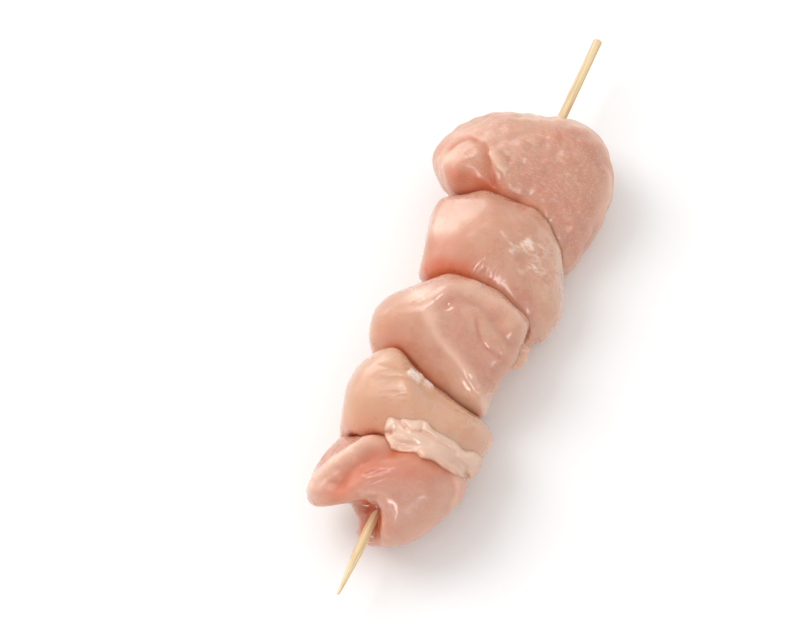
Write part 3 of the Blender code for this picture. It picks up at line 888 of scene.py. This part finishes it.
# Sizes in mm in the chunk's own across and along, over the surfaces of the chunks listed by number. Above
# and below are how far the strip reaches to the left and right of its path, and heights how far it stands
# above what lies beneath, all read evenly along it; depth is how far it reaches down inside. Blunt squares
# its ends, and edge is how thin it runs out at the sides. Tuck draws the sides down into the flesh, sink
# lowers the whole strip, shade darkens the sides, lumps and ragged are its unevenness up and sideways.
strips = [{
    "name": "looseFlap", "chunk": 1, "over": (0, 1), "rows": 190, "sides": 120, "depth": 2.2,
    "path": ((-8.4, -1.7), (-6.4, -1.6), (-2, -1.7), (2.9, -3.7), (8.6, -7.0), (13.8, -9.2), (17.3, -9.0)),
    "above": (2.4, 3.6, 4.2, 3.5, 4.3, 4.2, 4.0, 3.7, 3.4, 3.0, 3.1, 2.7, 2.2),
    "below": (2.2, 3.2, 4.3, 4.4, 4.2, 3.9, 4.0, 3.8, 3.6, 4.1, 3.9, 3.3, 2.2),
    "heights": (1.9, 2.6, 3.0, 2.9, 2.4, 1.6, 0.9), "blunt": 8, "edge": 1.25, "tuck": 0.6, "sink": 0.0,
    "shade": 0.42,
    "marks": [
        # painted shade in the groove at the left end
        line(0.7, (-9.6, -1.2), (-7.6, -1.4), (-6.0, -1.2), lift=-1.6, deep=0.35),
        # raised knobs, their tops paler, partly as painted light
        line(1.3, (-7.2, 1.0), (-6.0, 1.9), lift=1.1, pale=0.3),
        line(1.5, (-1.8, 1.8), (-0.2, 2.2), lift=1.0, pale=0.3),
        line(1.2, (2.6, 0.8), (4.4, -0.4), lift=0.7, pale=0.2),
        # painted shade in the crease lines
        line(0.6, (-4.6, 2.8), (-3.7, 1.0), (-3.0, -0.6), lift=-1.1, deep=0.10),
        line(0.6, (-3.0, -0.4), (1.0, -0.6), (4.6, -2.6), (8.6, -5.2), (11, -6.8), lift=-0.7, deep=0.12),
        line(0.45, (1.2, 2.2), (1.6, 0.8), (1.2, -0.6), lift=-0.6, deep=0.08),
        line(1.0, (9, -4.6), (12, -6.4), (14.6, -7.4), lift=0.7, pale=0.3),
        # painted light on the top of the roll, and painted shade along its lower edge where the flap rolls
        # under
        line(2.0, (-5.4, -3.2), (0, -4.0), (5, -6.4), (9, -9.2), lift=0.6, pale=0.1),
        line(1.5, (-7, -5.4), (-2.9, -5.8), (0.4, -6.6), (3.5, -8.4), (6.2, -9.6), (9.3, -11.8),
             (12.4, -12.4), deep=0.26),
    ],
    "combs": [comb(6, (0, 0), -30, 0.18, 1.2), comb(6, (8, -5), -34, 0.16, 1.2)],
    "lumps": 0.30, "ragged": 0.35, "pale": 0.66,
    "look": {"peach": 0.80, "speckle": 0.15, "wet": 0.6, "rough": 0.32, "Subsurface Weight": 0.12},
}, {
    "name": "frayedEdge", "chunk": 2, "over": (2,), "rows": 120, "sides": 60, "depth": 1.2,
    "path": ((17.2, 0.6), (16.4, -2.2), (15.2, -4.6), (13.6, -6.8)),
    "above": (0.4, 1.6, 3.6, 2.8, 2.6, 3.5, 2.6, 2.5, 3.3, 2.6, 1.2, 0.4),
    "below": (0.4, 1.4, 2.0, 2.2, 2.0, 1.4, 0.4),
    "heights": (0.2, 0.5, 0.6, 0.5, 0.2), "blunt": 2, "edge": 1.2, "tuck": 0.2, "sink": 1.3, "shade": 0.0,
    "marks": [
        line(0.5, (16, -1.2), (19, -2.0), (21, -2.8), lift=0.3),
        line(0.5, (15, -3.2), (18, -4.0), (20, -4.8), lift=0.3),
    ],
    "combs": [comb(5, (17, -3.5), -20, 0.12)],
    "lumps": 0.12, "ragged": 0.15, "pale": 0.3,
    "look": {"peach": 0.75, "speckle": 0.1, "wet": 0.5, "rough": 0.32, "Subsurface Weight": 0.4},
}]
stripForm = {
    "readings": 200, "swellSize": 6.0,
    "ends": 0.02,  # rings crowd towards the ends as a cosine, less this share
    "tuckPower": 4,  # how near the side the tuck sets in
    "shadeFade": 2.5,  # the shade is gone at this share (1 / 2.5) of the full height
}


def heightMap(chunk, numbers, step=0.5, half=40, bottom=-30.0):
    # highest point of the chunks listed over each cell of the leaning plane, in mm: empty cells stay at the
    # bottom or take a neighbour's height, and all are evened over three cells
    size = int(2 * half / step)
    grid = np.full((size, size), bottom)
    for number in numbers:
        points = rowsOf(chunkPieces[number].data.vertices, "co")
        points = (points - (chunk["at"] * mm, stickSide, stickHeight)) / mm
        cells = (np.column_stack((points @ across, points @ along)) + half) / step
        cells = np.clip(cells.astype(int), 0, size - 1)
        np.maximum.at(grid, (cells[:, 0], cells[:, 1]), points @ out)
    for axis in (0, 1, 0, 1):
        empty = grid == bottom
        grid = np.where(empty, np.maximum(np.roll(grid, 1, axis), np.roll(grid, -1, axis)), grid)
    for axis in (0, 1):
        grid = sum(np.roll(grid, shift, axis) for shift in (-1, 0, 1)) / 3
    return lambda places: readGrid(grid, *np.clip((places + half) / step - 0.5, 0, size - 2).T)


def makeStrip(form, material):
    # a flat tube along the path: ring angle t gives reach * cos t sideways and height * sin(t)^edge above the
    # surface beneath, both closing in to nothing at the ends as sqrt(1 - u^blunt), u from -1 to 1
    chunk = chunks[form["chunk"]]
    rows, sides = form["rows"], form["sides"]
    seed = 700 + 13 * len(form["path"])
    share = (1 - np.cos(np.pi * np.linspace(stripForm["ends"], 1 - stripForm["ends"], rows))) / 2
    curve = smoothPath(form["path"], stripForm["readings"])
    ticks = np.linspace(0, 1, stripForm["readings"])
    middle = np.column_stack([np.interp(share, ticks, curve[:, n]) for n in (0, 1)])
    run = np.gradient(middle, axis=0)
    side = np.column_stack((-run[:, 1], run[:, 0])) / np.hypot(*run.T)[:, None]
    closing = np.sqrt(1 - (2 * share - 1) ** form["blunt"])

    def sizesOf(key):
        # one of the form's rows of sizes, read smoothly at every ring
        sizes = smoothPath(np.array(form[key])[:, None], stripForm["readings"])[:, 0]
        return np.interp(share, ticks, sizes) * closing
    above, below, high = sizesOf("above"), sizesOf("below"), sizesOf("heights")
    spin = 2 * np.pi * np.arange(sides) / sides
    wide = np.where(np.cos(spin) > 0, above[:, None], below[:, None]) * np.cos(spin)
    places = middle[:, None] + side[:, None] * wide[..., None]
    places = np.vstack((places.reshape(-1, 2), curve[:1], curve[-1:]))
    bulge = np.abs(np.sin(spin)) ** form["edge"]
    lift = np.where(np.sin(spin) > 0, high[:, None] * bulge, -form["depth"] * closing[:, None] * bulge)
    lift = np.append(lift.ravel(), (0, 0))
    top = np.clip(lift / max(form["heights"]), 0, 1)
    flat = np.column_stack((places, np.zeros(len(places))))
    size = stripForm["swellSize"]
    places = places + np.column_stack([swells(flat, size, seed + n) for n in (0, 9)]) * form["ragged"]
    field = markField(form["marks"], places, seed)
    beneath = heightMap(chunk, form["over"])
    lowest = np.append(np.repeat(beneath(middle), sides), beneath(np.vstack((curve[:1], curve[-1:]))))
    height = np.maximum(beneath(places), lowest - form["depth"])
    height += lift + (field["lift"] + form["lumps"] * swells(flat, size, seed + 3)) * np.sqrt(top)
    sideways = np.append(np.tile(np.cos(spin) ** stripForm["tuckPower"], rows), (1, 1))
    height -= form["tuck"] * sideways + form["sink"]
    base = places @ np.stack((across, along)) + height[:, None] * out
    base = base + out[None] * (combField(form["combs"], base, places, seed) * np.sqrt(top))[:, None]
    points = base * mm + (chunk["at"] * mm, stickSide, stickHeight)
    piece = meshPiece(form["name"], points, closedRings(rows, sides))
    field["pale"] += form["pale"]
    field["deep"] += form["shade"] * (1 - np.clip(top * stripForm["shadeFade"], 0, 1))
    paint(piece.data, field)
    return finish(piece, chunk["node"], material)


stripMeats = [meatMaterial(form["name"] + "Meat", (0.2, 0.9, 0.4), form["look"]) for form in strips]
stripPieces = [makeStrip(form, meat) for form, meat in zip(strips, stripMeats)]
print("flaps made:", [piece.name for piece in stripPieces])


stickForm = {
    "rows": 300, "sides": 40,
    "crowding": 0.06,  # how far the rings crowd towards the two ends
    "pointLength": 12.5, "pointSwell": 0.8, "tipRadius": 0.3,  # swell under 1 bows the taper outwards
    "edge": 0.3,  # mm worn off round the blunt end
    "wobble": 0.02, "wobbleLength": 9.0, "wobbleWidth": 0.5, "wobbleSeed": 5,
}


def makeStick(material):
    # radius against distance from the point: a slightly swollen taper, then even, with a worn blunt edge
    rows, columns = stickForm["rows"], stickForm["sides"]
    length = (stickHigh.x - stickLow.x) / mm
    tip, edge = stickForm["tipRadius"], stickForm["edge"]
    share = np.linspace(0, 1, rows)
    run = length * (share - stickForm["crowding"] * np.sin(2 * np.pi * share))
    taper = np.clip(run / stickForm["pointLength"], 0, 1) ** stickForm["pointSwell"]
    radius = tip + (stickRadius / mm - tip) * taper - edge * np.clip(1 - (length - run) / edge, 0, 1) ** 2
    spin = 2 * np.pi * np.arange(columns) / columns
    ring = radius[:, None, None] * np.stack((0 * spin, np.cos(spin), np.sin(spin)), -1)
    ring = ring + run[:, None, None] * np.array((1, 0, 0))
    points = np.vstack((ring.reshape(-1, 3), ((0, 0, 0), (length, 0, 0))))
    uneven = grainNoise(points, (1, 0, 0), stickForm["wobbleLength"], stickForm["wobbleWidth"],
                        stickForm["wobbleSeed"])
    points[:, 1:] *= (1 + uneven * stickForm["wobble"])[:, None]
    points = points * mm + (stickLow.x, stickSide, stickHeight)
    piece = meshPiece("skewerStick", points, closedRings(rows, columns))
    return finish(piece, "stick", material)


makeStick(woodMaterial())
print("stick made")


studio = {
    "floor": (0.95, 0.95, 0.95, 1), "floorRough": 0.6, "floorHalf": 4.0, "sky": 0.84,
    # name, direction towards the lamp, its distance and size in m, its power in W, and whether it is soft:
    # the others only shine on what is wet
    "lamps": [
        ("keySoftbox", (-0.04, 0.58, 0.81), 1.0, (0.6, 0.6), 4.0, True),
        ("sideCard", (0.40, 0.90, 0.20), 0.8, (0.95, 0.50), 4.3, False),
        ("frontGlint", (-0.79, -0.23, 0.56), 0.9, (0.22, 0.36), 3.2, False),
        ("lowGlint", (-0.52, -0.76, 0.38), 0.9, (0.26, 0.16), 1.0, False),
        ("topGlint", (0.12, 0.20, 0.97), 0.9, (0.26, 0.12), 1.5, False),
    ],
}


def makeFloor():
    # one plain square under the skewer
    mesh = bpy.data.meshes.new("studioFloor")
    half = studio["floorHalf"]
    corners = [(-half, -half, 0), (half, -half, 0), (half, half, 0), (-half, half, 0)]
    mesh.from_pydata(corners, [], [(0, 1, 2, 3)])
    book = MaterialBook("paleFloor")
    book.feed("Base Color", studio["floor"])
    book.feed("Roughness", studio["floorRough"])
    mesh.materials.append(book.material)
    newObject("studioFloor", mesh)


def makeLamp(name, direction, distance, size, power, soft):
    # a rectangle of light that faces the middle of the skewer
    lamp = bpy.data.lights.new(name, "AREA")
    lamp.shape = "RECTANGLE"
    lamp.size, lamp.size_y = size
    lamp.energy = power
    piece = newObject(name, lamp)
    direction = Vector(direction).normalized()
    piece.location = direction * distance
    piece.rotation_euler = (-direction).to_track_quat("-Z", "Y").to_euler()
    piece.visible_diffuse = soft


def makeSky():
    # even white light from all round
    sky = bpy.data.worlds.new("studioSky")
    sky.use_nodes = True
    background = sky.node_tree.nodes["Background"]
    background.inputs["Color"].default_value = (1, 1, 1, 1)
    background.inputs["Strength"].default_value = studio["sky"]
    bpy.context.scene.world = sky


cameraForm = {
    "lens": 151.56, "sensor": 36.0,  # mm
    "distance": 0.9, "near": 0.05, "far": 20.0,  # m
    "aimAcross": -19.305, "aimAlong": -3.743,  # mm from the stick's middle to the middle of the view
}


def makeCamera():
    # looks straight at the leaning plane, with across to the right and along upwards
    data = bpy.data.cameras.new("viewCamera")
    data.lens = cameraForm["lens"]
    data.sensor_width = cameraForm["sensor"]
    data.clip_start, data.clip_end = cameraForm["near"], cameraForm["far"]
    camera = newObject("viewCamera", data)
    aim = (cameraForm["aimAcross"] * across + cameraForm["aimAlong"] * along) * mm
    eye = np.array((0, stickSide, stickHeight)) + aim + out * cameraForm["distance"]
    camera.matrix_world = Matrix([(across[i], along[i], out[i], eye[i]) for i in range(3)] + [(0, 0, 0, 1)])
    bpy.context.scene.camera = camera


makeFloor()
for lamp in studio["lamps"]:
    makeLamp(*lamp)
makeSky()
makeCamera()
bpy.context.scene.view_settings.view_transform = "Standard"
print("floor, light and camera set")
